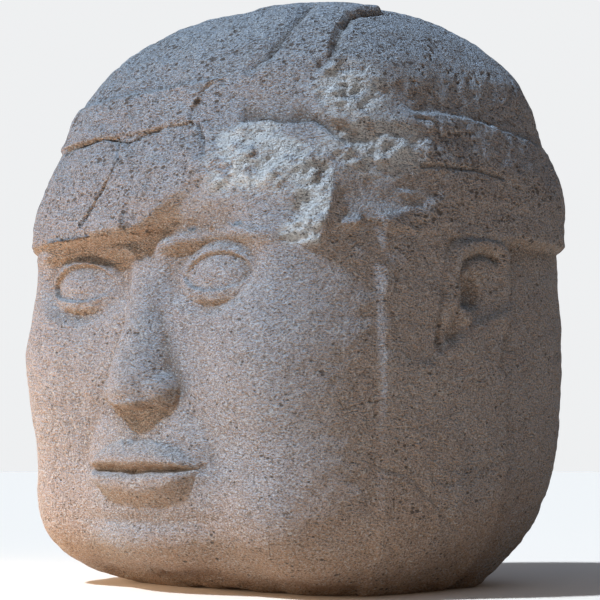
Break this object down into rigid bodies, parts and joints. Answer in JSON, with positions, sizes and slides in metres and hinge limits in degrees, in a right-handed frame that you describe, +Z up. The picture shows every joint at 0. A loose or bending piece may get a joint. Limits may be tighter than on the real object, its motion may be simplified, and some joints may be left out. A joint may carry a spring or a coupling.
{
  "type": "colossal stone head",
  "caption": "Colossal carved basalt head in a close helmet with side straps and ears, worn and broken over one brow, standing on its flat underside.",
  "frame": {"origin": "middle of the flat underside, on the ground", "axes": "+Z up; the head looks along -Y; +X is the head's own left side"},
  "size_m": [2.0752, 1.9597, 2.4123],
  "materials": {
    "stone": "matte"
  },
  "bodies": {
    "root": {"stone_head": "stone"}
  },
  "joints": []
}
